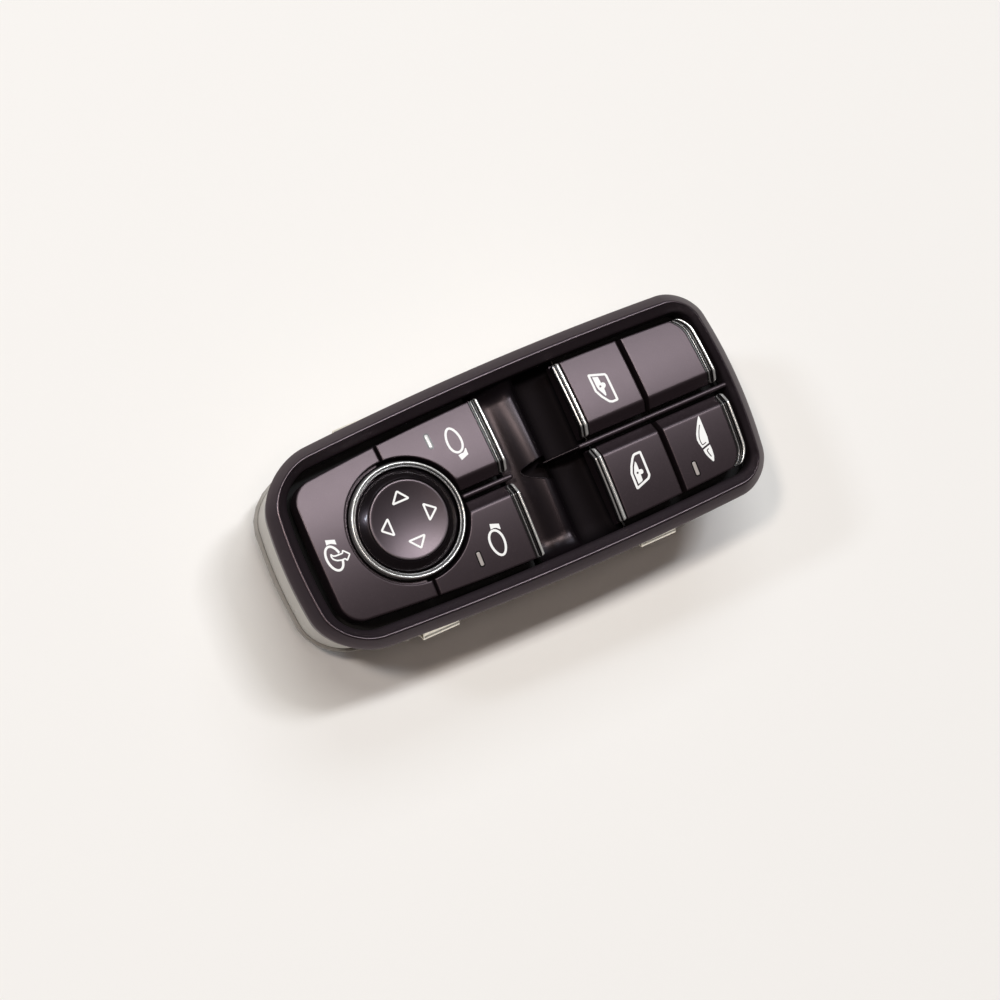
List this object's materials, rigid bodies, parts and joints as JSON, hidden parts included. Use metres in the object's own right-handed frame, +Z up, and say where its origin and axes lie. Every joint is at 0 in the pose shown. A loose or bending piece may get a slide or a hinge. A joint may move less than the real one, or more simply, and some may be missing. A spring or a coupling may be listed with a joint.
{
  "type": "power window switch",
  "caption": "Door-mounted power window switch: crowned rocker keys with chrome lips, a dished mirror joystick in a bright ring, mirror keys and a finger well in a dark bezel.",
  "frame": {"origin": "centre of the bounding box in plan, on the plane that the rear cover's floor rests on", "axes": "+X along the switch from the mirror joystick to the rear window keys, +Y across it towards the row without an indicator on its rear key, +Z up out of the key faces"},
  "size_m": [0.135, 0.062, 0.044],
  "materials": {
    "bezel_plastic": "fine satin grain",
    "key_plastic": "soft satin paint with a fine speckle",
    "gloss_black": "polished",
    "chrome": "bright plated plastic",
    "housing_plastic": "plain moulded, warm pale grey",
    "carrier_plastic": "plain moulded",
    "connector_plastic": "plain moulded",
    "board_laminate": "glass laminate under green solder resist",
    "mat_rubber": "matt silicone",
    "pin_metal": "tin plated",
    "spring_steel": "bright rolled sheet",
    "lens_plastic": "milky",
    "chip_resin": "moulded resin"
  },
  "bodies": {
    "base": {"bezel": "bezel_plastic", "switch_housing": "housing_plastic", "rear_cover": "housing_plastic", "circuit_board": "board_laminate", "dome_mat": "mat_rubber", "controller_chip": "chip_resin", "left_mirror_lamp": "lens_plastic", "right_mirror_lamp": "lens_plastic", "rear_window_lamp": "lens_plastic", "connector_header": "connector_plastic", "connector_pin_01": "pin_metal", "connector_pin_02": "pin_metal", "connector_pin_03": "pin_metal", "connector_pin_04": "pin_metal", "connector_pin_05": "pin_metal", "connector_pin_06": "pin_metal", "connector_pin_07": "pin_metal", "connector_pin_08": "pin_metal", "connector_pin_09": "pin_metal", "connector_pin_10": "pin_metal", "connector_pin_11": "pin_metal", "connector_pin_12": "pin_metal", "joystick_ring": "chrome", "clip_rear_left": "spring_steel", "clip_front_left": "spring_steel", "clip_rear_right": "spring_steel", "clip_front_right": "spring_steel"},
    "front_right_rocker": {"front_right_key": "key_plastic", "front_right_carrier": "carrier_plastic", "front_right_trim": "chrome"},
    "front_left_rocker": {"front_left_key": "key_plastic", "front_left_carrier": "carrier_plastic", "front_left_trim": "chrome"},
    "rear_right_rocker": {"rear_right_key": "key_plastic", "rear_right_carrier": "carrier_plastic", "rear_right_trim": "chrome"},
    "rear_left_rocker": {"rear_left_key": "key_plastic", "rear_left_carrier": "carrier_plastic", "rear_left_trim": "chrome", "rear_window_lens": "lens_plastic"},
    "left_mirror_button": {"left_mirror_key": "key_plastic", "left_mirror_carrier": "carrier_plastic", "left_mirror_trim": "chrome", "left_mirror_lens": "lens_plastic"},
    "right_mirror_button": {"right_mirror_key": "key_plastic", "right_mirror_carrier": "carrier_plastic", "right_mirror_trim": "chrome", "right_mirror_lens": "lens_plastic"},
    "mirror_fold_button": {"mirror_fold_key": "key_plastic", "mirror_fold_carrier": "carrier_plastic"},
    "gimbal": {"gimbal_ring": "carrier_plastic"},
    "joystick": {"joystick_stem": "carrier_plastic", "joystick_knob": "gloss_black", "joystick_pad": "key_plastic"}
  },
  "joints": [
    {"name": "front_right_rock", "type": "hinge", "parent": "base", "child": "front_right_rocker", "pos_m": [0.0335, 0.0113, 0.0376], "axis": [0, 1, 0], "range_deg": [-6, 6], "stiffness_Nm_per_rad": 0.35},
    {"name": "front_left_rock", "type": "hinge", "parent": "base", "child": "front_left_rocker", "pos_m": [0.0335, -0.0113, 0.0376], "axis": [0, 1, 0], "range_deg": [-6, 6], "stiffness_Nm_per_rad": 0.35},
    {"name": "rear_right_rock", "type": "hinge", "parent": "base", "child": "rear_right_rocker", "pos_m": [0.0465, 0.0113, 0.0376], "axis": [0, 1, 0], "range_deg": [-6, 6], "stiffness_Nm_per_rad": 0.35},
    {"name": "rear_left_rock", "type": "hinge", "parent": "base", "child": "rear_left_rocker", "pos_m": [0.0465, -0.0113, 0.0376], "axis": [0, 1, 0], "range_deg": [-6, 6], "stiffness_Nm_per_rad": 0.35},
    {"name": "left_mirror_press", "type": "slide", "parent": "base", "child": "left_mirror_button", "axis": [0, 0, -1], "range_m": [0, 0.001], "stiffness_N_per_m": 2500},
    {"name": "right_mirror_press", "type": "slide", "parent": "base", "child": "right_mirror_button", "axis": [0, 0, -1], "range_m": [0, 0.001], "stiffness_N_per_m": 2500},
    {"name": "mirror_fold_press", "type": "slide", "parent": "base", "child": "mirror_fold_button", "axis": [0, 0, -1], "range_m": [0, 0.001], "stiffness_N_per_m": 2500},
    {"name": "joystick_side_tilt", "type": "hinge", "parent": "base", "child": "gimbal", "pos_m": [-0.033, 0, 0.0248], "axis": [1, 0, 0], "range_deg": [-4, 4], "stiffness_Nm_per_rad": 0.25},
    {"name": "joystick_long_tilt", "type": "hinge", "parent": "gimbal", "child": "joystick", "pos_m": [-0.033, 0, 0.0248], "axis": [0, 1, 0], "range_deg": [-4, 4], "stiffness_Nm_per_rad": 0.25}
  ]
}
